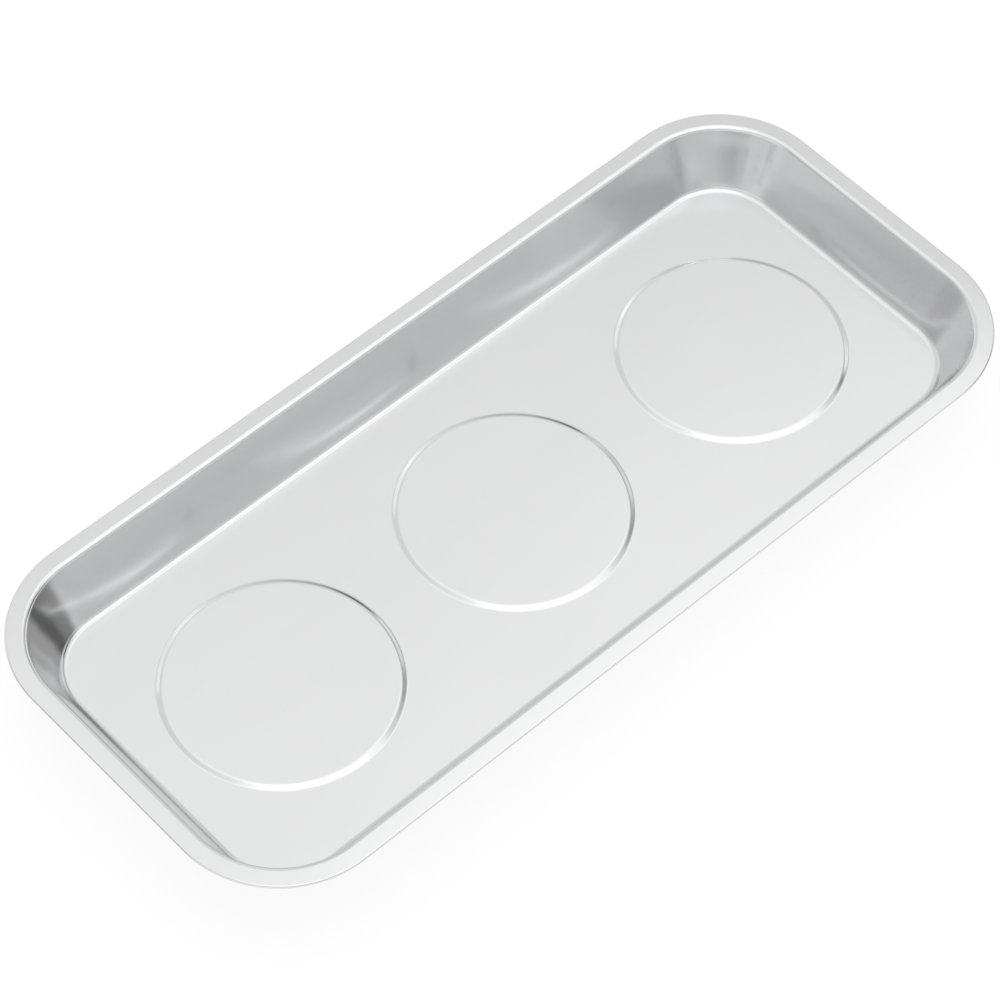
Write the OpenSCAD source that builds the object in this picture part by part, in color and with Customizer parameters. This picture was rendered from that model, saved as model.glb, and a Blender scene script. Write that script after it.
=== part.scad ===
// Magnetic parts tray: a pressed stainless steel pan on three rubber-booted ring magnets.
// Millimetres, +Z up. The origin is on the bench, under the middle of the tray, and X runs along the tray.

/* [Pan] */
// Overall length, over the rim
tray_l = 356; // [340:1:420]
// Overall width, over the rim
tray_w = 158; // [146:1:200]
// Corner radius of the rim, seen from above
corner_r = 41; // [32:0.5:60]
// Depth inside, from the top of the rim to the floor
depth = 23; // [16:0.5:34]
// Thickness of the steel sheet
sheet_t = 0.6; // [0.5:0.05:0.7]
// Lean of the walls from upright, in degrees
wall_lean = 24; // [8:1:28]
// Radius of the bend between floor and wall, on the inside
floor_bend_r = 2.5; // [1.5:0.1:5]
// Radius of the bend between wall and rim, on the top side
rim_bend_r = 2; // [1.2:0.1:3]
// Width of the rim, from its edge to where it bends down
rim_w = 5.7; // [5:0.1:9]
// Outer radius of the hem, where the rim's edge is folded under
hem_r = 0.75; // [0.75:0.05:1.2]
// Width of the strip that is folded under
hem_w = 3; // [2:0.1:3.5]

/* [Magnet seats] */
// Distance from one seat to the next
seat_pitch = 105; // [98:0.5:110]
// Height that each seat stands above the floor
seat_rise = 1; // [0.9:0.05:1.5]
// Slope of the step round a seat, in degrees
seat_slope = 30; // [20:1:40]
// Radius of the two bends in that step, on the middle of the sheet
seat_bend_r = 1.8; // [1.2:0.1:2.2]
// Gap between a boot and the bend round its seat
seat_gap = 0.65; // [0.3:0.05:2]

/* [Magnet] */
// Outer diameter of the ferrite ring
magnet_d = 72; // [64:1:76]
// Diameter of the hole in the ring
magnet_hole_d = 32; // [28:1:38]
// Thickness of the ring
magnet_h = 10; // [9:0.5:15]
// Chamfer on the ring's edges
magnet_chamfer = 0.8; // [0.3:0.1:1.5]

/* [Rubber boot] */
// Thickness of the boot's sole, under the magnet
sole_t = 2.5; // [2:0.1:4]
// Thickness of the boot's outer wall
boot_wall = 2.5; // [1.5:0.1:3]
// Radius of the sole's outer edge
sole_edge_r = 1.8; // [0.5:0.1:2.4]
// Radius of the edge round the sole's middle opening
mouth_edge_r = 0.4; // [0.2:0.1:0.8]
// Gap between the boot and the magnet's side
boot_gap = 0.25; // [0.1:0.05:0.6]

/* [Retaining cup] */
// Thickness of the cup's steel
cup_t = 1; // [0.8:0.1:1.2]
// Height of the cup, from its flange up
cup_h = 9; // [8.5:0.1:9.8]
// Height of the flange above the bench
cup_recess = 0.5; // [0.3:0.1:0.8]
// Width of the flange that reaches under the magnet
cup_overlap = 6.5; // [5:0.1:8]
// Radius of the cup's two bends, on the inside of each
cup_bend_r = 1.5; // [0.8:0.1:2]
// Gap between the cup and the magnet's hole
cup_gap = 1; // [0.5:0.1:2]
// Gap between the cup's flange and the rubber round it
flange_gap = 0.5; // [0.2:0.1:1]
// Gap between the cup's bend and the rubber lip
lip_gap = 0.5; // [0.2:0.1:1]

/* [Fasteners] */
// Thread diameter of the weld stud
stud_d = 5; // [4:0.5:5.5]
// Length of thread that shows past the nut
stud_end = 0.6; // [0.3:0.1:1]
// Diameter of the stud's weld base
stud_base_d = 7; // [6.5:0.1:9]
// Thickness of the stud's weld base
stud_base_t = 0.8; // [0.5:0.1:1.1]
// Chamfer on the stud's end
stud_chamfer = 0.6; // [0.3:0.1:0.9]
// Outer diameter of the washer
washer_d = 15; // [12:0.5:20]
// Thickness of the washer
washer_t = 1.2; // [1:0.1:1.4]
// Gap between the stud and the holes in the washer and cup
hole_gap = 0.2; // [0.1:0.05:0.5]
// Width of the nut across its flats
nut_af = 8; // [8:0.5:10]
// Height of the nut's hexagon
nut_h = 3.6; // [3:0.1:3.8]
// Height of the round collar that holds the nylon ring
collar_h = 1.3; // [1:0.1:1.5]
// Wall of that collar
collar_wall = 0.5; // [0.3:0.05:0.6]
// Lip that is rolled over the nylon ring
collar_lip = 0.3; // [0.2:0.05:0.4]
// Gap between the stud and the nut and nylon ring
thread_gap = 0.05; // [0.05:0.01:0.1]

/* [Hidden] */
$fn = 96;

// Heights, from the bench up
seat_under_z = sole_t + magnet_h;
floor_z = seat_under_z - seat_rise + sheet_t;
rim_z = floor_z + depth;
lip_z = cup_recess + cup_t;
cup_z = cup_recess + cup_h;
washer_z = cup_z - cup_t - washer_t;
nut_z = washer_z - nut_h;
collar_z = nut_z - collar_h;
stud_z = collar_z - stud_end;

// Section of the pan's wall, with u measured outwards from the corner's centre
arc_step = 11;
bend_angle = 90 - wall_lean;
rim_bend_u = corner_r - rim_w;
hem_u = corner_r - hem_r;
bend_reach = (floor_bend_r + rim_bend_r) * sin(bend_angle);
wall_rise = depth - (floor_bend_r + rim_bend_r) * (1 - cos(bend_angle));
floor_bend_u = rim_bend_u - bend_reach - wall_rise / tan(bend_angle);

// Centre of each corner
corner_x = tray_l / 2 - corner_r;
corner_y = tray_w / 2 - corner_r;

// Boot, cup and the seat that they fit
cavity_r = magnet_d / 2 + boot_gap;
boot_r = cavity_r + boot_wall;
cup_r = magnet_hole_d / 2 - cup_gap;
flange_r = magnet_hole_d / 2 + cup_overlap;
mouth_r = flange_r + flange_gap;
lip_r = cup_r + cup_bend_r + lip_gap;
seat_flat_r = boot_r + seat_gap;
seat_incline = (seat_rise - 2 * seat_bend_r * (1 - cos(seat_slope))) / sin(seat_slope);
seat_foot_r = seat_flat_r + 2 * seat_bend_r * sin(seat_slope) + seat_incline * cos(seat_slope);
seat_overlap = 1;

// Points of an arc round [u, z], from angle a to angle b
function arc(u, z, r, a, b) =
    let (n = max(1, ceil(abs(b - a) / arc_step)))
    [for (i = [0:n]) [u + r * cos(a + (b - a) * i / n), z + r * sin(a + (b - a) * i / n)]];

// Floor, wall, rim and hem in section, one sheet thick all the way
module pan_section() {
    polygon(concat(
        [[0, floor_z]],
        arc(floor_bend_u, floor_z + floor_bend_r, floor_bend_r, -90, bend_angle - 90),
        arc(rim_bend_u, rim_z - rim_bend_r, rim_bend_r, 90 + bend_angle, 90),
        arc(hem_u, rim_z - hem_r, hem_r, 90, -90),
        [[hem_u - hem_w, rim_z - 2 * hem_r], [hem_u - hem_w, rim_z - 2 * hem_r + sheet_t]],
        arc(hem_u, rim_z - hem_r, hem_r - sheet_t, -90, 90),
        arc(rim_bend_u, rim_z - rim_bend_r, rim_bend_r - sheet_t, 90, 90 + bend_angle),
        arc(floor_bend_u, floor_z + floor_bend_r, floor_bend_r + sheet_t, bend_angle - 90, -90),
        [[0, floor_z - sheet_t]]
    ));
}

// One straight side of the pan, whose section starts at y = 0
module pan_side(length) {
    translate([-length / 2, 0, 0])
        rotate([90, 0, 90])
            linear_extrude(length) pan_section();
}

// Raised seat in section: flat top, sloping step and a ring of floor round it
module seat_section() {
    half = sheet_t / 2;
    top_z = seat_under_z + half;
    foot_z = floor_z - half;
    polygon(concat(
        [[0, top_z + half]],
        arc(seat_flat_r, top_z - seat_bend_r, seat_bend_r + half, 90, 90 - seat_slope),
        arc(seat_foot_r, foot_z + seat_bend_r, seat_bend_r - half, -90 - seat_slope, -90),
        [[seat_foot_r + seat_overlap, floor_z], [seat_foot_r + seat_overlap, floor_z - sheet_t]],
        arc(seat_foot_r, foot_z + seat_bend_r, seat_bend_r + half, -90, -90 - seat_slope),
        arc(seat_flat_r, top_z - seat_bend_r, seat_bend_r - half, 90 - seat_slope, 90),
        [[0, top_z - half]]
    ));
}

// Places its children at each of the three feet
module at_feet() {
    for (i = [-1:1])
        translate([i * seat_pitch, 0, 0]) children();
}

// Pressed steel pan: floor, four sides and four corners, then the seats
module tray_pan() {
    color([0.82, 0.83, 0.84])
    union() {
        difference() {
            union() {
                translate([-corner_x, -corner_y, floor_z - sheet_t])
                    cube([2 * corner_x, 2 * corner_y, sheet_t]);
                for (turn = [0, 180]) {
                    rotate([0, 0, turn])
                        translate([0, corner_y, 0]) pan_side(2 * corner_x);
                    rotate([0, 0, turn - 90])
                        translate([0, corner_x, 0]) pan_side(2 * corner_y);
                    rotate([0, 0, turn])
                        translate([corner_x, corner_y, 0])
                            rotate_extrude(angle = 90) pan_section();
                    rotate([0, 0, turn])
                        translate([-corner_x, corner_y, 0])
                            rotate([0, 0, 90]) rotate_extrude(angle = 90) pan_section();
                }
            }
            at_feet()
                translate([0, 0, floor_z - 2 * sheet_t])
                    cylinder(r = seat_foot_r, h = 3 * sheet_t);
        }
        at_feet() rotate_extrude() seat_section();
    }
}

// Ferrite ring, magnetised through its thickness
module magnet() {
    inner = magnet_hole_d / 2;
    outer = magnet_d / 2;
    c = magnet_chamfer;
    color([0.16, 0.16, 0.17])
    translate([0, 0, sole_t])
        rotate_extrude()
            polygon([
                [inner + c, 0], [outer - c, 0], [outer, c], [outer, magnet_h - c],
                [outer - c, magnet_h], [inner + c, magnet_h], [inner, magnet_h - c], [inner, c],
            ]);
}

// Moulded cover round and under the magnet, with a thin lip that the cup's flange presses on
module boot() {
    color([0.06, 0.06, 0.065])
    rotate_extrude()
        polygon(concat(
            arc(boot_r - sole_edge_r, sole_edge_r, sole_edge_r, -90, 0),
            [[boot_r, seat_under_z], [cavity_r, seat_under_z], [cavity_r, sole_t]],
            [[lip_r, sole_t], [lip_r, lip_z], [mouth_r, lip_z]],
            arc(mouth_r + mouth_edge_r, mouth_edge_r, mouth_edge_r, 180, 270)
        ));
}

// Pressed steel cup, drawn up into the magnet's hole; its flange holds the magnet and boot
module cup() {
    low_u = cup_r + cup_bend_r;
    low_z = cup_recess + cup_t + cup_bend_r;
    high_u = cup_r - cup_t - cup_bend_r;
    high_z = cup_z - cup_t - cup_bend_r;
    hole_r = stud_d / 2 + hole_gap;
    color([0.72, 0.72, 0.71])
    rotate_extrude()
        polygon(concat(
            [[flange_r, cup_recess], [flange_r, cup_recess + cup_t]],
            arc(low_u, low_z, cup_bend_r, 270, 180),
            arc(high_u, high_z, cup_bend_r + cup_t, 0, 90),
            [[hole_r, cup_z], [hole_r, cup_z - cup_t]],
            arc(high_u, high_z, cup_bend_r, 90, 0),
            arc(low_u, low_z, cup_bend_r + cup_t, 180, 270)
        ));
}

// Threaded stud, welded by its base under the seat
module stud() {
    r = stud_d / 2;
    base_z = seat_under_z - stud_base_t;
    color([0.72, 0.71, 0.68])
    rotate_extrude()
        polygon([
            [0, stud_z], [r - stud_chamfer, stud_z], [r, stud_z + stud_chamfer], [r, base_z],
            [stud_base_d / 2, base_z], [stud_base_d / 2, seat_under_z], [0, seat_under_z],
        ]);
}

// Flat washer, under the top of the cup
module washer() {
    color([0.75, 0.75, 0.74])
    translate([0, 0, washer_z])
        difference() {
            cylinder(d = washer_d, h = washer_t);
            translate([0, 0, -washer_t])
                cylinder(r = stud_d / 2 + hole_gap, h = 3 * washer_t);
        }
}

// Hexagon with its lower corners turned off, and a round collar with a rolled lip below it
module nut() {
    collar_r = nut_af / 2 - collar_lip;
    seat_r = collar_r - collar_wall;
    color([0.74, 0.73, 0.70])
    difference() {
        union() {
            intersection() {
                translate([0, 0, nut_z])
                    cylinder(d = nut_af / cos(30), h = nut_h, $fn = 6);
                translate([0, 0, nut_z])
                    cylinder(r1 = nut_af / 2, r2 = nut_af / 2 + 2 * nut_h, h = nut_h);
            }
            translate([0, 0, collar_z])
                cylinder(r = collar_r, h = collar_h + nut_h / 2);
        }
        translate([0, 0, collar_z - nut_h])
            cylinder(r = stud_d / 2 + thread_gap, h = 4 * nut_h);
        translate([0, 0, collar_z + collar_lip])
            cylinder(r = seat_r, h = collar_h - collar_lip);
        translate([0, 0, collar_z - collar_lip])
            cylinder(r = seat_r - collar_lip, h = 3 * collar_lip);
    }
}

// Nylon ring, held in the nut's collar and gripping the thread
module nylon_ring() {
    seat_r = nut_af / 2 - collar_lip - collar_wall;
    color([0.13, 0.28, 0.62])
    translate([0, 0, collar_z + collar_lip])
        difference() {
            cylinder(r = seat_r, h = collar_h - collar_lip);
            translate([0, 0, -collar_h])
                cylinder(r = stud_d / 2 + thread_gap, h = 3 * collar_h);
        }
}

tray_pan();
translate([-seat_pitch, 0, 0]) magnet();  // left_magnet
translate([-seat_pitch, 0, 0]) boot();  // left_boot
translate([-seat_pitch, 0, 0]) cup();  // left_cup
translate([-seat_pitch, 0, 0]) stud();  // left_stud
translate([-seat_pitch, 0, 0]) washer();  // left_washer
translate([-seat_pitch, 0, 0]) nut();  // left_nut
translate([-seat_pitch, 0, 0]) nylon_ring();  // left_nylon_ring
magnet();  // middle_magnet
boot();  // middle_boot
cup();  // middle_cup
stud();  // middle_stud
washer();  // middle_washer
nut();  // middle_nut
nylon_ring();  // middle_nylon_ring
translate([seat_pitch, 0, 0]) magnet();  // right_magnet
translate([seat_pitch, 0, 0]) boot();  // right_boot
translate([seat_pitch, 0, 0]) cup();  // right_cup
translate([seat_pitch, 0, 0]) stud();  // right_stud
translate([seat_pitch, 0, 0]) washer();  // right_washer
translate([seat_pitch, 0, 0]) nut();  // right_nut
translate([seat_pitch, 0, 0]) nylon_ring();  // right_nylon_ring
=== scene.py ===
import math

import bmesh
import bpy
from mathutils import Matrix, Vector


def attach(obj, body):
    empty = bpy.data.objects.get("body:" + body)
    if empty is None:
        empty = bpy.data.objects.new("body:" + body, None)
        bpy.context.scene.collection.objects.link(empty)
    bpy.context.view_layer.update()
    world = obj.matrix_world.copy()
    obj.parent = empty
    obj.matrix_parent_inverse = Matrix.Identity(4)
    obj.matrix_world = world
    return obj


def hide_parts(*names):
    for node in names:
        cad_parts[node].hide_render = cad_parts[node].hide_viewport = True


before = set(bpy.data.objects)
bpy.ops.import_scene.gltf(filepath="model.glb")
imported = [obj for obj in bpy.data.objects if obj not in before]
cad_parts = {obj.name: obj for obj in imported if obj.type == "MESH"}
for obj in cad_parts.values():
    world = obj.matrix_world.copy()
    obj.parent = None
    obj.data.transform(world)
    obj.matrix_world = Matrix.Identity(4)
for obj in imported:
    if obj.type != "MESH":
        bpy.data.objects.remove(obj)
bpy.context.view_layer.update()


# The pan: one sheet of thin stainless steel, pressed into a shallow tray with leaning walls and a
# flat rim. The rim's edge is folded under, and three round seats are pressed up out of the floor.
MM = 0.001
SHEET = 0.6 * MM
RIM_Z = 35.1 * MM
FLOOR_Z = 12.1 * MM
CORNER_X, CORNER_Y = 137 * MM, 38 * MM
CORNER_R = 41 * MM
RIM_WIDTH = 5.7 * MM
RIM_DROOP = 0.2 * MM
RIM_BEND_R = 2.0 * MM
FLOOR_BEND_R = 2.5 * MM
HEM_R = 0.75 * MM
HEM_WIDTH = 3.0 * MM
WALL_TURN = math.radians(66)
SEAT_PITCH = 105 * MM
SEAT_RISE = 1.0 * MM
SEAT_FLAT_R = 39.4 * MM
SEAT_BEND_R = 1.8 * MM
SEAT_SLOPE = math.radians(30)
WELD_GAP = 0.002 * MM
CORNER_STEPS, SEAT_STEPS = 40, 128


class Wire:
    """A node's output socket. Sums with it add Math nodes, and node() adds a node of any other type."""

    def __init__(self, socket):
        self.socket = socket

    def node(self, kind, settings, sockets, output=0):
        tree = self.socket.id_data
        added = tree.nodes.new(kind)
        for name, value in settings.items():
            if name == "stops":
                stops = added.color_ramp.elements
                while len(stops) < len(value):
                    stops.new(0.5)
                for stop, (place, colour) in zip(stops, value):
                    stop.position = place
                    stop.color = colour
            else:
                setattr(added, name, value)
        for name, value in sockets.items():
            for wire in value if isinstance(value, list) else [value]:
                if isinstance(wire, Wire):
                    tree.links.new(wire.socket, added.inputs[name])
                else:
                    added.inputs[name].default_value = wire
        return Wire(added.outputs[output])

    def maths(self, operation, first, second):
        return self.node("ShaderNodeMath", {"operation": operation}, {0: first, 1: second})

    def __add__(self, other):
        return self.maths("ADD", self, other)

    def __radd__(self, other):
        return self.maths("ADD", other, self)

    def __sub__(self, other):
        return self.maths("SUBTRACT", self, other)

    def __rsub__(self, other):
        return self.maths("SUBTRACT", other, self)

    def __mul__(self, other):
        return self.maths("MULTIPLY", self, other)

    def __rmul__(self, other):
        return self.maths("MULTIPLY", other, self)


def arc(u, z, radius, start, end, steps):
    """Points of an arc round (u, z), between two angles in radians."""
    angles = [start + (end - start) * i / steps for i in range(steps + 1)]
    return [(u + radius * math.cos(a), z + radius * math.sin(a)) for a in angles]


def drawn_curve(name, loops, closed):
    """A helper curve of straight pieces through each loop's points, for the node trees to sweep and fill."""
    data = bpy.data.curves.new(name, "CURVE")
    data.dimensions = "3D"
    data.twist_mode = "Z_UP"
    for loop in loops:
        spline = data.splines.new("POLY")
        spline.points.add(len(loop) - 1)
        for point, (x, y) in zip(spline.points, loop):
            point.co = (x, y, 0, 1)
        spline.use_cyclic_u = closed
    return bpy.data.objects.new(name, data)


def section_curve(name, points, path_offset, closed):
    """A section given as (distance, height), turned the way that Curve to Mesh hangs it on its path."""
    return drawn_curve(name, [[(u - path_offset, -z) for u, z in points]], closed)


def ring_loop(radius, centre_x, steps):
    """Points of a circle about (centre_x, 0)."""
    return [(centre_x + u, v) for u, v in arc(0, 0, radius, 0, 2 * math.pi, steps)[:-1]]


def new_tree(name, inputs):
    """An empty geometry tree with named inputs, and its input node's sockets as wires."""
    tree = bpy.data.node_groups.new(name, "GeometryNodeTree")
    for label, kind in inputs:
        tree.interface.new_socket(label, in_out="INPUT", socket_type="NodeSocket" + kind)
    tree.interface.new_socket("Geometry", in_out="OUTPUT", socket_type="NodeSocketGeometry")
    entry = tree.nodes.new("NodeGroupInput")
    return tree, {label: Wire(entry.outputs[label]) for label, _ in inputs}


def end_tree(tree, mesh, material):
    """Closes a tree: joins its seams, and leaves one plain mesh with its material."""
    joined = mesh.node("GeometryNodeMergeByDistance", {}, {"Geometry": mesh, "Distance": WELD_GAP})
    plain = joined.node("GeometryNodeRealizeInstances", {}, {"Geometry": joined})
    painted = plain.node("GeometryNodeSetMaterial", {}, {"Geometry": plain, "Material": material})
    tree.links.new(painted.socket, tree.nodes.new("NodeGroupOutput").inputs["Geometry"])


def shape_from_tree(name, tree, values, sharp_degrees):
    """Runs a tree on a new object, and turns the result into a plain mesh with clean normals."""
    piece = bpy.data.objects.new(name, bpy.data.meshes.new(name))
    bpy.context.scene.collection.objects.link(piece)
    nodes = piece.modifiers.new("shape", "NODES")
    nodes.node_group = tree
    for item in tree.interface.items_tree:
        if item.in_out == "INPUT":
            nodes[item.identifier] = values[item.name]
    settle(piece, sharp_degrees)
    return piece


def settle(piece, sharp_degrees):
    """Bakes a piece's modifiers into its mesh, faces it outwards and shades it by the size of its faces."""
    def baked():
        view = bpy.context.evaluated_depsgraph_get()
        return bpy.data.meshes.new_from_object(piece.evaluated_get(view))

    shaped = baked()
    piece.modifiers.clear()
    form = bmesh.new()
    form.from_mesh(shaped)
    bmesh.ops.remove_doubles(form, verts=form.verts, dist=WELD_GAP)
    bmesh.ops.recalc_face_normals(form, faces=form.faces)
    form.to_mesh(shaped)
    form.free()
    shaped.shade_smooth()
    shaped.set_sharp_from_angle(angle=math.radians(sharp_degrees))
    piece.data = shaped
    weighted = piece.modifiers.new("weighted", "WEIGHTED_NORMAL")
    weighted.keep_sharp = True
    shaded = baked()
    piece.modifiers.clear()
    piece.data = shaded
    piece.data.name = piece.name


def new_material(name, constants):
    """A material with its fixed values on the shader, and the piece's Object coordinates as a wire."""
    material = bpy.data.materials.new(name)
    material.use_nodes = True
    tree = material.node_tree
    shader = tree.nodes["Principled BSDF"]
    for socket, value in constants.items():
        shader.inputs[socket].default_value = value
    coordinates = tree.nodes.new("ShaderNodeTexCoord")
    return material, shader, Wire(coordinates.outputs["Object"])


def noise(place, scale, stretch, detail):
    """Soft noise from 0 to 1; scale is in cycles per metre, and stretch multiplies it along each axis."""
    moved = place.node("ShaderNodeMapping", {}, {"Vector": place, "Scale": stretch})
    return moved.node("ShaderNodeTexNoise", {}, {"Vector": moved, "Scale": scale, "Detail": detail})


def plug(shader, socket, wire):
    """Feeds a wire to one of a shader's sockets."""
    wire.socket.id_data.links.new(wire.socket, shader.inputs[socket])


def stainless_sheet():
    """Bright rolled stainless: fine grain along the sheet, faint smears and the slow waves of pressing."""
    material, shader, place = new_material("stainless_sheet", {"Metallic": 1.0})
    grain = noise(place, 2400, (0.012, 1, 1), 2)
    smear = noise(place, 34, (0.5, 1, 1), 4)
    wave = noise(place, 17, (0.3, 0.5, 4), 1)
    tone = 0.4 * grain + 0.6 * smear
    colour = tone.node(
        "ShaderNodeValToRGB",
        {"stops": [(0.25, (0.744, 0.746, 0.752, 1)), (0.75, (0.774, 0.776, 0.782, 1))]},
        {"Fac": tone},
    )
    plug(shader, "Base Color", colour)
    plug(shader, "Roughness", 0.12 + 0.03 * grain + 0.04 * smear)
    waves = wave.node("ShaderNodeBump", {}, {"Height": wave, "Distance": 0.5 * MM, "Strength": 0.8})
    lines = waves.node(
        "ShaderNodeBump", {}, {"Height": grain, "Distance": 0.002 * MM, "Strength": 0.2, "Normal": waves}
    )
    plug(shader, "Normal", lines)
    return material


def pan_section():
    """The sheet from the floor's edge up the wall, over the rim, round the hem and back underneath."""
    quarter = math.pi / 2
    rim_u = CORNER_R - RIM_WIDTH
    hem_u, hem_z = CORNER_R - HEM_R, RIM_Z - RIM_DROOP - HEM_R
    fold_u = hem_u - HEM_WIDTH
    low, high = FLOOR_Z + FLOOR_BEND_R, RIM_Z - RIM_BEND_R
    bends = FLOOR_BEND_R + RIM_BEND_R
    rise = RIM_Z - FLOOR_Z - bends * (1 - math.cos(WALL_TURN))
    floor_u = rim_u - bends * math.sin(WALL_TURN) - rise / math.tan(WALL_TURN)
    points = arc(floor_u, low, FLOOR_BEND_R, -quarter, WALL_TURN - quarter, 14)
    points += arc(rim_u, high, RIM_BEND_R, quarter + WALL_TURN, quarter, 18)
    points += arc(hem_u, hem_z, HEM_R, quarter, -quarter, 12)
    points += [(fold_u, hem_z - HEM_R), (fold_u, hem_z - HEM_R + SHEET)]
    points += arc(hem_u, hem_z, HEM_R - SHEET, -quarter, quarter, 4)
    points += arc(rim_u, high, RIM_BEND_R - SHEET, quarter, quarter + WALL_TURN, 6)
    points += arc(floor_u, low, FLOOR_BEND_R + SHEET, WALL_TURN - quarter, -quarter, 8)
    return points, floor_u


def seat_section(side):
    """The step round a seat, from its middle out to the floor; side is 1 on top and -1 underneath."""
    half = side * SHEET / 2
    top, foot = FLOOR_Z + SEAT_RISE - SHEET / 2, FLOOR_Z - SHEET / 2
    slope = (SEAT_RISE - 2 * SEAT_BEND_R * (1 - math.cos(SEAT_SLOPE))) / math.sin(SEAT_SLOPE)
    foot_r = SEAT_FLAT_R + 2 * SEAT_BEND_R * math.sin(SEAT_SLOPE) + slope * math.cos(SEAT_SLOPE)
    quarter = math.pi / 2
    points = [(0, top + half), (SEAT_FLAT_R / 2, top + half)]
    points += arc(SEAT_FLAT_R, top - SEAT_BEND_R, SEAT_BEND_R + half, quarter, quarter - SEAT_SLOPE, 12)
    points += arc(foot_r, foot + SEAT_BEND_R, SEAT_BEND_R - half, -quarter - SEAT_SLOPE, -quarter, 12)
    return points, foot_r


section, floor_corner_r = pan_section()
seat_top, seat_foot_r = seat_section(1)
seat_under, _ = seat_section(-1)
floor_loop = []
for turn in range(4):
    centre = (CORNER_X * (1, -1, -1, 1)[turn], CORNER_Y * (1, 1, -1, -1)[turn])
    floor_loop += arc(*centre, floor_corner_r, turn * math.pi / 2, (turn + 1) * math.pi / 2, CORNER_STEPS)
seat_loops = [ring_loop(seat_foot_r, x, SEAT_STEPS) for x in (-SEAT_PITCH, 0, SEAT_PITCH)]

pan_tree, given = new_tree("pressed_pan", [
    ("Floor Outline", "Object"), ("Wall Section", "Object"), ("Floor With Holes", "Object"),
    ("Seat Ring", "Object"), ("Seat Top", "Object"), ("Seat Underside", "Object"),
    ("Seat Pitch", "Float"), ("Floor Height", "Float"), ("Sheet", "Float"), ("Material", "Material"),
])
drawn = {
    label: given[label].node("GeometryNodeObjectInfo", {}, {"Object": given[label]}, "Geometry")
    for label in (
        "Floor Outline", "Wall Section", "Floor With Holes", "Seat Ring", "Seat Top", "Seat Underside",
    )
}


def swept(path, profile):
    return path.node("GeometryNodeCurveToMesh", {}, {"Curve": path, "Profile Curve": profile})


def lifted(mesh, height):
    raised = mesh.node("ShaderNodeCombineXYZ", {}, {"Z": height})
    return mesh.node("GeometryNodeTransform", {}, {"Geometry": mesh, "Translation": raised})


plate = drawn["Floor With Holes"].node(
    "GeometryNodeFillCurve", {"mode": "TRIANGLES"}, {"Curve": drawn["Floor With Holes"]}
)
seat = plate.node("GeometryNodeJoinGeometry", {}, {"Geometry": [
    swept(drawn["Seat Ring"], drawn["Seat Top"]), swept(drawn["Seat Ring"], drawn["Seat Underside"]),
]})
first_seat = plate.node("ShaderNodeCombineXYZ", {}, {"X": -1 * given["Seat Pitch"]})
next_seat = plate.node("ShaderNodeCombineXYZ", {}, {"X": given["Seat Pitch"]})
seat_line = plate.node(
    "GeometryNodeMeshLine", {"mode": "OFFSET"},
    {"Count": 3, "Start Location": first_seat, "Offset": next_seat},
)
seats = plate.node("GeometryNodeInstanceOnPoints", {}, {"Points": seat_line, "Instance": seat})
real_seats = plate.node("GeometryNodeRealizeInstances", {}, {"Geometry": seats})
pan_shell = plate.node("GeometryNodeJoinGeometry", {}, {"Geometry": [
    swept(drawn["Floor Outline"], drawn["Wall Section"]), real_seats,
    lifted(plate, given["Floor Height"]), lifted(plate, given["Floor Height"] - given["Sheet"]),
]})
end_tree(pan_tree, pan_shell, given["Material"])

pan = shape_from_tree("tray_pan_sheet", pan_tree, {
    "Floor Outline": drawn_curve("floor_outline", [floor_loop], True),
    "Wall Section": section_curve("wall_section", section, floor_corner_r, False),
    "Floor With Holes": drawn_curve("floor_with_holes", [floor_loop] + seat_loops, True),
    "Seat Ring": drawn_curve("seat_ring", [ring_loop(seat_foot_r, 0, SEAT_STEPS)], True),
    "Seat Top": section_curve("seat_top", seat_top, seat_foot_r, False),
    "Seat Underside": section_curve("seat_underside", seat_under, seat_foot_r, False),
    "Seat Pitch": SEAT_PITCH, "Floor Height": FLOOR_Z, "Sheet": SHEET, "Material": stainless_sheet(),
}, 40)
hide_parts("tray_pan")
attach(pan, "root")


# The weld studs: short M5 studs of zinc-plated steel, one welded by its base under the middle of
# each seat. Each hangs down through the magnet and carries everything else on that foot.
FEET = {"left": -SEAT_PITCH, "middle": 0.0, "right": SEAT_PITCH}
SEAT_UNDER_Z = 12.5 * MM
STUD_R, STUD_END_Z = 2.5 * MM, 1.8 * MM
STUD_BASE_R, STUD_BASE_H = 3.5 * MM, 0.8 * MM
THREAD_PITCH, THREAD_DEPTH = 0.8 * MM, 0.4 * MM
STUD_CHAMFER, STUD_BASE_EDGE = 0.6 * MM, 0.15 * MM


def zinc_plate(name, tint, roughness):
    """Zinc plating: cool grey with faint cloudy patches and a fine grain."""
    material, shader, place = new_material(name, {"Metallic": 1.0})
    cloud = noise(place, 260, (1, 1, 1), 3)
    grain = noise(place, 5200, (1, 1, 1), 2)
    dark = tuple(0.82 * part for part in tint)
    colour = cloud.node(
        "ShaderNodeValToRGB", {"stops": [(0.3, (*dark, 1)), (0.7, (*tint, 1))]}, {"Fac": cloud}
    )
    plug(shader, "Base Color", colour)
    plug(shader, "Roughness", roughness + 0.12 * cloud + 0.08 * grain)
    bump = grain.node("ShaderNodeBump", {}, {"Height": grain, "Distance": 0.01 * MM, "Strength": 0.35})
    plug(shader, "Normal", bump)
    return material


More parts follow.
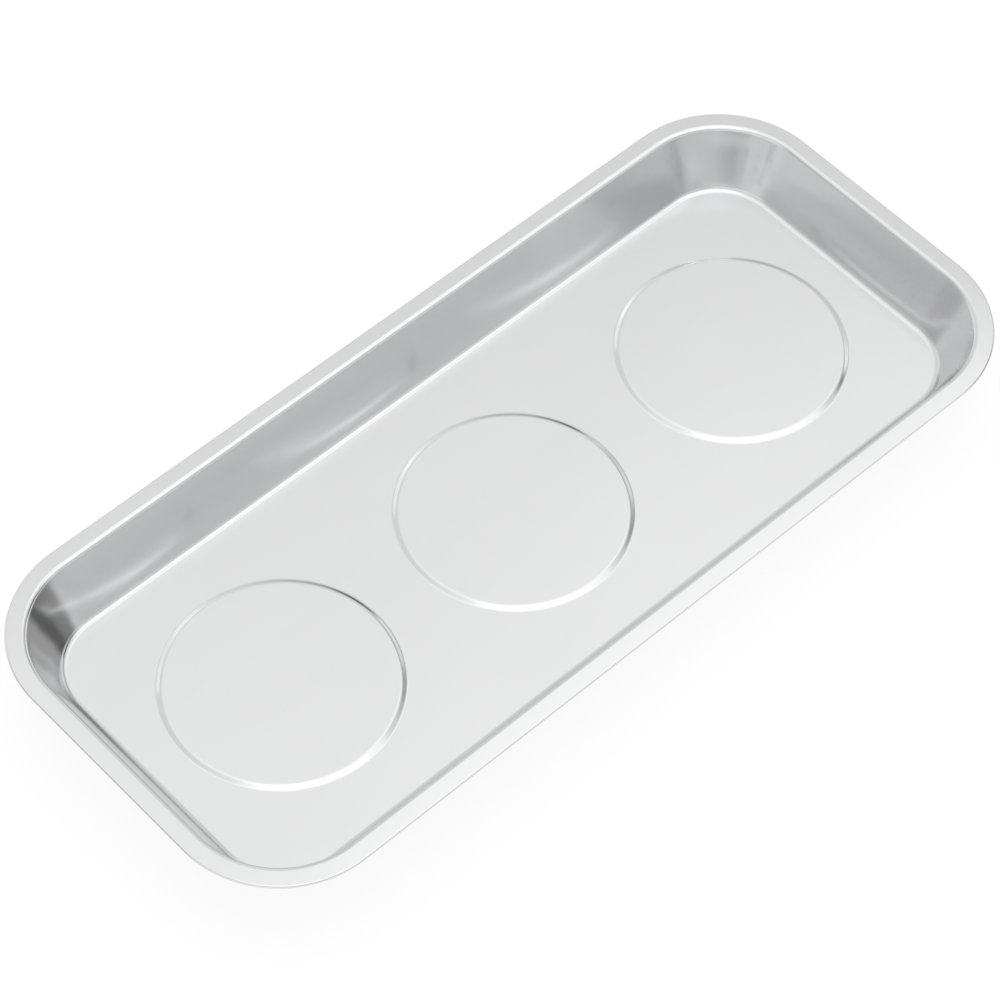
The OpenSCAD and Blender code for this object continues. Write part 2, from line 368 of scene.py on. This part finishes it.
def rings_to_piece(name, rings, closed, material, sharp_degrees):
    """A mesh through rings of points, each with as many points; closed joins the last ring to the first."""
    steps = len(rings[0])
    faces = []
    for i in range(len(rings) if closed else len(rings) - 1):
        low, high = i * steps, (i + 1) % len(rings) * steps
        for j in range(steps):
            k = (j + 1) % steps
            faces.append((low + j, low + k, high + k, high + j))
    if not closed:
        faces.append(tuple(reversed(range(steps))))
        faces.append(tuple(range((len(rings) - 1) * steps, len(rings) * steps)))
    mesh = bpy.data.meshes.new(name)
    mesh.from_pydata([point for ring in rings for point in ring], [], faces)
    mesh.materials.append(material)
    piece = bpy.data.objects.new(name, mesh)
    bpy.context.scene.collection.objects.link(piece)
    settle(piece, sharp_degrees)
    return piece


def stand_for(piece, node):
    """The piece stands in for its CAD node, which is hidden, and stays with the tray."""
    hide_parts(node)
    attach(piece, "root")


def stud_rings(foot_x):
    """Rings up the stud: a rolled thread that runs out into the chamfer at its lower end, then the weld
    base.
    """
    steps, rise = 40, 0.1 * MM
    shank_top = SEAT_UNDER_Z - STUD_BASE_H
    rings = []
    for level in range(round((shank_top - STUD_END_Z) / rise) + 1):
        z = STUD_END_Z + level * rise
        chamfer = max(0.0, STUD_CHAMFER - (z - STUD_END_Z))
        ring = []
        for j in range(steps):
            turn = j / steps
            along = (z / THREAD_PITCH - turn) % 1.0
            groove = THREAD_DEPTH * (1 - abs(2 * along - 1))
            r = min(STUD_R - groove, STUD_R - chamfer)
            ring.append((foot_x + r * math.cos(turn * 2 * math.pi), r * math.sin(turn * 2 * math.pi), z))
        rings.append(ring)
    for r, z in (
        (STUD_BASE_R - STUD_BASE_EDGE, shank_top), (STUD_BASE_R, shank_top + STUD_BASE_EDGE),
        (STUD_BASE_R, SEAT_UNDER_Z),
    ):
        rings.append([(x, y, z) for x, y in ring_loop(r, foot_x, steps)])
    return rings


fastener_zinc = zinc_plate("zinc_plated_steel", (0.72, 0.72, 0.70), 0.26)
for side, foot_x in FEET.items():
    stud = rings_to_piece(side + "_weld_stud", stud_rings(foot_x), False, fastener_zinc, 50)
    stand_for(stud, side + "_stud")


# The magnets: pressed and fired rings of dark grey ferrite with ground faces, one flat against the
# underside of each seat. They are brittle, so their edges are chamfered and a boot covers them.
MAGNET_R, MAGNET_HOLE_R, MAGNET_H = 36 * MM, 16 * MM, 10 * MM
MAGNET_CHAMFER = 0.8 * MM
SOLE_T = 2.5 * MM

turned_tree, given = new_tree("turned_piece", [
    ("Path", "Object"), ("Section", "Object"), ("Foot Place", "Float"), ("Material", "Material"),
])
path, profile = (
    given[label].node("GeometryNodeObjectInfo", {}, {"Object": given[label]}, "Geometry")
    for label in ("Path", "Section")
)
foot_place = path.node("ShaderNodeCombineXYZ", {}, {"X": given["Foot Place"]})
turned_mesh = swept(path, profile)
placed = path.node("GeometryNodeTransform", {}, {"Geometry": turned_mesh, "Translation": foot_place})
end_tree(turned_tree, placed, given["Material"])
PATH_R = 10 * MM
turning_path = drawn_curve("turning_path", [ring_loop(PATH_R, 0, 96)], True)


def turned_pieces(label, node, points, material):
    """One piece at each foot, turned from a closed section of (radius, height) points."""
    outline = section_curve(label + "_section", points, PATH_R, True)
    for side, foot_x in FEET.items():
        piece = shape_from_tree(side + "_" + label, turned_tree, {
            "Path": turning_path, "Section": outline, "Foot Place": foot_x, "Material": material,
        }, 35)
        stand_for(piece, side + "_" + node)


def eased(points, ease):
    """The closed outline with each corner cut back by ease, so that edges catch the light."""
    cut = []
    for i, corner in enumerate(points):
        here = Vector(corner)
        for other in (points[i - 1], points[(i + 1) % len(points)]):
            step = Vector(other) - here
            cut.append(tuple(here + step.normalized() * min(ease, step.length / 3)))
    return cut


def ferrite():
    """Fired ferrite: near-black grey, with fine pits and paler grinding marks."""
    material, shader, place = new_material("ferrite", {"Metallic": 0.0, "IOR": 2.0})
    pits = noise(place, 1500, (1, 1, 1), 4)
    marks = noise(place, 700, (0.05, 1, 1), 2)
    tone = 0.6 * pits + 0.4 * marks
    colour = tone.node(
        "ShaderNodeValToRGB",
        {"stops": [(0.3, (0.030, 0.030, 0.032, 1)), (0.75, (0.085, 0.085, 0.090, 1))]}, {"Fac": tone},
    )
    plug(shader, "Base Color", colour)
    plug(shader, "Roughness", 0.45 + 0.25 * pits)
    bump = pits.node("ShaderNodeBump", {}, {"Height": pits, "Distance": 0.05 * MM, "Strength": 0.5})
    plug(shader, "Normal", bump)
    return material


turned_pieces("ferrite_ring", "magnet", eased([
    (MAGNET_HOLE_R, SOLE_T), (MAGNET_R, SOLE_T),
    (MAGNET_R, SOLE_T + MAGNET_H), (MAGNET_HOLE_R, SOLE_T + MAGNET_H),
], MAGNET_CHAMFER), ferrite())


# The boots: moulded black rubber covers, pulled up over the magnets from below. Each stands on its
# sole, and a thin lip round the sole's opening is clamped between the magnet and the cup's flange.
BOOT_R, BOOT_CAVITY_R = 38.75 * MM, 36.25 * MM
SOLE_EDGE_R, BOOT_RIM_R = 1.8 * MM, 0.4 * MM
LIP_R, LIP_Z, MOUTH_R, MOUTH_EDGE_R = 17.0 * MM, 1.5 * MM, 23.0 * MM, 0.4 * MM
PARTING_Z, PARTING_H = 6.4 * MM, 0.12 * MM


def boot_rubber():
    """Moulded rubber: black with a grey bloom, a fine leathery grain, and scuffs where the sole rubs."""
    material, shader, place = new_material("boot_rubber", {"Metallic": 0.0, "Specular IOR Level": 0.35})
    bloom = noise(place, 70, (1, 1, 1), 4)
    grain = noise(place, 2600, (1, 1, 1), 3)
    height = place.node("ShaderNodeSeparateXYZ", {}, {"Vector": place}, "Z")
    sole = height.node("ShaderNodeMapRange", {"clamp": True}, {
        "Value": height, "From Min": 0.0, "From Max": 2.2 * MM, "To Min": 1.0, "To Max": 0.0,
    })
    scuff = sole * noise(place, 900, (0.3, 1, 1), 5)
    tone = 0.6 * bloom + 0.7 * scuff
    colour = tone.node(
        "ShaderNodeValToRGB",
        {"stops": [(0.25, (0.012, 0.012, 0.013, 1)), (0.85, (0.050, 0.050, 0.052, 1))]}, {"Fac": tone},
    )
    plug(shader, "Base Color", colour)
    plug(shader, "Roughness", 0.48 + 0.14 * bloom + 0.16 * scuff)
    bump = grain.node("ShaderNodeBump", {}, {"Height": grain, "Distance": 0.06 * MM, "Strength": 0.45})
    plug(shader, "Normal", bump)
    return material


quarter = math.pi / 2
boot_points = arc(BOOT_R - SOLE_EDGE_R, SOLE_EDGE_R, SOLE_EDGE_R, -quarter, 0, 8)
boot_points += [
    (BOOT_R, PARTING_Z - PARTING_H), (BOOT_R + PARTING_H / 2, PARTING_Z),
    (BOOT_R, PARTING_Z + PARTING_H),
]
boot_points += arc(BOOT_R - BOOT_RIM_R, SEAT_UNDER_Z - BOOT_RIM_R, BOOT_RIM_R, 0, quarter, 4)
boot_points += [
    (BOOT_CAVITY_R, SEAT_UNDER_Z), (BOOT_CAVITY_R, SOLE_T), (LIP_R, SOLE_T), (LIP_R, LIP_Z),
    (MOUTH_R, LIP_Z),
]
boot_points += arc(MOUTH_R + MOUTH_EDGE_R, MOUTH_EDGE_R, MOUTH_EDGE_R, 2 * quarter, 3 * quarter, 5)
turned_pieces("rubber_boot", "boot", boot_points, boot_rubber())


# The retaining cups: pressed zinc-plated steel, drawn up into the hole of each magnet. The flange
# reaches under the magnet through the boot's lip, and the nut in the cup pulls it tight.
CUP_R, CUP_T, CUP_LOW_Z, CUP_TOP_Z = 15.0 * MM, 1.0 * MM, 0.5 * MM, 9.5 * MM
CUP_BEND_R, CUP_FLANGE_R, STUD_HOLE_R = 1.5 * MM, 22.5 * MM, 2.7 * MM

low_u, low_z = CUP_R + CUP_BEND_R, CUP_LOW_Z + CUP_T + CUP_BEND_R
high_u, high_z = CUP_R - CUP_T - CUP_BEND_R, CUP_TOP_Z - CUP_T - CUP_BEND_R
edge_r = 0.3 * MM
cup_points = arc(CUP_FLANGE_R - edge_r, CUP_LOW_Z + edge_r, edge_r, -quarter, 0, 4)
cup_points += arc(CUP_FLANGE_R - edge_r, CUP_LOW_Z + CUP_T - edge_r, edge_r, 0, quarter, 4)
cup_points += arc(low_u, low_z, CUP_BEND_R, 3 * quarter, 2 * quarter, 8)
cup_points += arc(high_u, high_z, CUP_BEND_R + CUP_T, 0, quarter, 10)
cup_points += [(STUD_HOLE_R, CUP_TOP_Z), (STUD_HOLE_R, CUP_TOP_Z - CUP_T)]
cup_points += arc(high_u, high_z, CUP_BEND_R, quarter, 0, 8)
cup_points += arc(low_u, low_z, CUP_BEND_R + CUP_T, 2 * quarter, 3 * quarter, 10)
cup_zinc = zinc_plate("zinc_plated_sheet", (0.70, 0.71, 0.72), 0.20)
turned_pieces("retaining_cup", "cup", cup_points, cup_zinc)


# The washers: flat M5 washers, punched from steel strip and zinc plated. One lies under the top of
# each cup and spreads the nut's load.
WASHER_R, WASHER_LOW_Z, WASHER_HIGH_Z = 7.5 * MM, 7.3 * MM, 8.5 * MM
WASHER_EDGE = 0.15 * MM
turned_pieces("flat_washer", "washer", eased([
    (STUD_HOLE_R, WASHER_LOW_Z), (WASHER_R, WASHER_LOW_Z),
    (WASHER_R, WASHER_HIGH_Z), (STUD_HOLE_R, WASHER_HIGH_Z),
], WASHER_EDGE), fastener_zinc)


# The nuts: M5 locking nuts of zinc-plated steel. The hexagon's lower corners are turned off, and a
# round collar below it is rolled over the nylon ring that grips the thread.
NUT_FLAT_R, NUT_Z, COLLAR_Z = 4.0 * MM, 3.7 * MM, 2.4 * MM
NUT_BORE_R, COLLAR_R, COLLAR_SEAT_R, COLLAR_LIP = 2.55 * MM, 3.7 * MM, 3.2 * MM, 0.3 * MM
BORE_CHAMFER, NUT_EDGE, CORNER_EDGE, COLLAR_EDGE = 0.3 * MM, 0.1 * MM, 0.05 * MM, 0.1 * MM
NUT_STEPS = 96


def nut_rings(foot_x):
    """Rings round the nut's section, two of them drawn out to the six corners."""
    top, lip_r = WASHER_LOW_Z, COLLAR_SEAT_R - COLLAR_LIP
    rings = []

    def ring(radius, height, reach=0.0, rise=0.0):
        points = []
        for j in range(NUT_STEPS):
            angle = j / NUT_STEPS * 2 * math.pi
            beyond = NUT_FLAT_R / math.cos(angle % (math.pi / 3) - math.pi / 6) - NUT_FLAT_R
            r, z = radius + reach * beyond, height + rise * beyond
            points.append((foot_x + r * math.cos(angle), r * math.sin(angle), z))
        rings.append(points)

    ring(NUT_BORE_R, NUT_Z)
    ring(NUT_BORE_R, top - BORE_CHAMFER)
    ring(NUT_BORE_R + BORE_CHAMFER, top)
    ring(0.95 * NUT_FLAT_R, top)
    ring(NUT_FLAT_R, top - NUT_EDGE, reach=1.0)
    ring(NUT_FLAT_R, NUT_Z + CORNER_EDGE, reach=1.0, rise=0.5)
    ring(0.98 * NUT_FLAT_R, NUT_Z)
    ring(COLLAR_R, NUT_Z)
    ring(COLLAR_R, COLLAR_Z + COLLAR_LIP)
    ring(COLLAR_R - COLLAR_EDGE, COLLAR_Z + COLLAR_EDGE)
    ring(COLLAR_R - COLLAR_LIP, COLLAR_Z)
    ring(lip_r, COLLAR_Z)
    ring(lip_r, COLLAR_Z + COLLAR_LIP)
    ring(COLLAR_SEAT_R, COLLAR_Z + COLLAR_LIP)
    ring(COLLAR_SEAT_R, NUT_Z)
    return rings


for side, foot_x in FEET.items():
    nut = rings_to_piece(side + "_lock_nut", nut_rings(foot_x), True, fastener_zinc, 28)
    stand_for(nut, side + "_nut")


# The nylon rings: small blue collars held in the nuts. The stud's thread bites into them, which
# keeps the nuts from working loose.
NYLON_EDGE = 0.08 * MM


def blue_nylon():
    """Moulded nylon: blue, slightly cloudy, with a soft gloss."""
    material, shader, place = new_material("nylon", {"Metallic": 0.0, "IOR": 1.53})
    cloud = noise(place, 900, (1, 1, 1), 3)
    colour = cloud.node(
        "ShaderNodeValToRGB",
        {"stops": [(0.3, (0.035, 0.11, 0.36, 1)), (0.7, (0.07, 0.18, 0.48, 1))]}, {"Fac": cloud},
    )
    plug(shader, "Base Color", colour)
    plug(shader, "Roughness", 0.32 + 0.2 * cloud)
    return material


turned_pieces("nylon_collar", "nylon_ring", eased([
    (NUT_BORE_R, COLLAR_Z + COLLAR_LIP), (COLLAR_SEAT_R, COLLAR_Z + COLLAR_LIP), (COLLAR_SEAT_R, NUT_Z),
    (NUT_BORE_R, NUT_Z),
], NYLON_EDGE), blue_nylon())


# The stage: a plain white floor that the tray stands on, and soft light from a big pale dome.
# The floor shows white to the camera and in reflections, keeps a little of the tray's shadow, and is
# clear from below, so that the boots can be seen.
FLOOR_SIZE = 6.0
FLOOR_LOW = -0.2 * MM
FLOOR_GREY, FLOOR_GLOW = 0.85, 0.9
floor_mesh = bpy.data.meshes.new("studio_floor")
half = FLOOR_SIZE / 2
floor_corners = ((-half, -half), (half, -half), (half, half), (-half, half))
floor_mesh.from_pydata([(x, y, FLOOR_LOW) for x, y in floor_corners], [], [(0, 1, 2, 3)])
studio_floor = bpy.data.objects.new("studio_floor", floor_mesh)
bpy.context.scene.collection.objects.link(studio_floor)
white_floor = bpy.data.materials.new("white_floor")
white_floor.use_nodes = True
floor_tree = white_floor.node_tree
floor_tree.nodes.clear()
ray = floor_tree.nodes.new("ShaderNodeLightPath")
seen = Wire(ray.outputs["Is Camera Ray"])
mirrored = Wire(ray.outputs["Is Glossy Ray"])
through = Wire(ray.outputs["Is Transmission Ray"])
shown = seen.maths("MAXIMUM", seen, seen.maths("MAXIMUM", mirrored, through))
matt = seen.node("ShaderNodeBsdfDiffuse", {}, {"Color": (FLOOR_GREY, FLOOR_GREY, FLOOR_GREY, 1)})
glow = seen.node("ShaderNodeEmission", {}, {"Color": (1, 1, 1, 1), "Strength": 1.0})
white = seen.node("ShaderNodeMixShader", {}, {0: FLOOR_GLOW * shown, 1: matt, 2: glow})
clear = seen.node("ShaderNodeBsdfTransparent", {}, {})
from_below = Wire(floor_tree.nodes.new("ShaderNodeNewGeometry").outputs["Backfacing"])
floor_shader = seen.node("ShaderNodeMixShader", {}, {0: from_below, 1: white, 2: clear})
floor_tree.links.new(floor_shader.socket, floor_tree.nodes.new("ShaderNodeOutputMaterial").inputs["Surface"])
floor_mesh.materials.append(white_floor)

DOME_STRENGTH = 1.25
# How grey the dome is, by the height of the direction: 0 is level and 1 is straight up.
DOME_GREYS = [
    (0.00, 0.84), (0.21, 0.76), (0.34, 0.68), (0.55, 0.66), (0.74, 0.69), (0.79, 0.755), (0.86, 0.826),
    (0.92, 0.88), (1.00, 0.92),
]
# Soft cards on the dome: azimuth from +X and elevation in degrees, the half-angles where a card fades
# out and where it is whole, and its brightness beside the dome's.
CARDS = {
    "right back, grey card": (18, 29, 13, 5, 0.55),
    "right, grey card": (-4, 28, 12, 5, 0.55),
    "right, black card": (-24, 22, 14, 5, 0.10),
    "right front, dark card": (-42, 17, 14, 5, 0.30),
    "front, pale grey card": (-90, 10, 40, 20, 0.82),
    "back, pale grey card": (64, 14, 16, 5, 0.75),
    "left back, grey card": (143, 10, 28, 10, 0.6),
    "right, high lamp": (20, 60, 16, 7, 1.18),
    "front right, high lamp": (-52, 52, 18, 9, 1.4),
    "front, broad high lamp": (-110, 64, 34, 18, 1.3),
}
world = bpy.data.worlds.new("studio")
bpy.context.scene.world = world
world.use_nodes = True
sky_tree = world.node_tree
sky_tree.nodes.clear()
way = Wire(sky_tree.nodes.new("ShaderNodeTexCoord").outputs["Generated"])
way_up = way.node("ShaderNodeSeparateXYZ", {}, {"Vector": way}, "Z")
dome = way.node("ShaderNodeValToRGB", {"stops": [
    (height, (grey, grey, grey, 1)) for height, grey in DOME_GREYS
]}, {"Fac": way_up})
dome_strength = DOME_STRENGTH
for azimuth, elevation, outer, inner, share in CARDS.values():
    flat = math.cos(math.radians(elevation))
    towards = (
        flat * math.cos(math.radians(azimuth)), flat * math.sin(math.radians(azimuth)),
        math.sin(math.radians(elevation)),
    )
    nearness = way.node(
        "ShaderNodeVectorMath", {"operation": "DOT_PRODUCT"}, {0: way, 1: towards}, "Value"
    )
    dome_strength = dome_strength * way.node("ShaderNodeMapRange", {"interpolation_type": "SMOOTHSTEP"}, {
        "Value": nearness, "From Min": math.cos(math.radians(outer)),
        "From Max": math.cos(math.radians(inner)), "To Min": 1.0, "To Max": share,
    })
dome_light = way.node("ShaderNodeBackground", {}, {"Color": dome, "Strength": dome_strength})
sky_tree.links.new(dome_light.socket, sky_tree.nodes.new("ShaderNodeOutputWorld").inputs["Surface"])

SOFTBOX_SIZE, SOFTBOX_WATTS, SOFTBOX_PLACE = 1.6, 14, (0.2, 0.1, 1.5)
softbox = bpy.data.lights.new("softbox", "AREA")
softbox.shape = "SQUARE"
softbox.size = SOFTBOX_SIZE
softbox.energy = SOFTBOX_WATTS
softbox_lamp = bpy.data.objects.new("softbox", softbox)
softbox_lamp.location = SOFTBOX_PLACE
softbox_lamp.visible_glossy = False
bpy.context.scene.collection.objects.link(softbox_lamp)
bpy.context.scene.view_settings.view_transform = "Standard"


# The camera: a long lens that looks down on the tray from over its near left corner, as the
# photograph does, with the picture turned a little.
AZIMUTH, ELEVATION, ROLL = math.radians(-44.02), math.radians(54.39), math.radians(-1.63)
CAMERA_PLACE = (-0.5260, -0.5374, 1.0329 + RIM_Z)
SENSOR_MM, LENS_MM = 36.0, 136.06
camera = bpy.data.cameras.new("camera")
camera.sensor_width = SENSOR_MM
camera.lens = LENS_MM
camera_object = bpy.data.objects.new("camera", camera)
back = Vector((
    math.sin(AZIMUTH) * math.cos(ELEVATION), -math.cos(AZIMUTH) * math.cos(ELEVATION), math.sin(ELEVATION),
))
level = Vector((math.cos(AZIMUTH), math.sin(AZIMUTH), 0))
steep = back.cross(level)
right = math.cos(ROLL) * level - math.sin(ROLL) * steep
up = math.cos(ROLL) * steep + math.sin(ROLL) * level
turned = Matrix((right, up, back)).transposed().to_4x4()
camera_object.matrix_world = Matrix.Translation(CAMERA_PLACE) @ turned
bpy.context.scene.collection.objects.link(camera_object)
bpy.context.scene.camera = camera_object
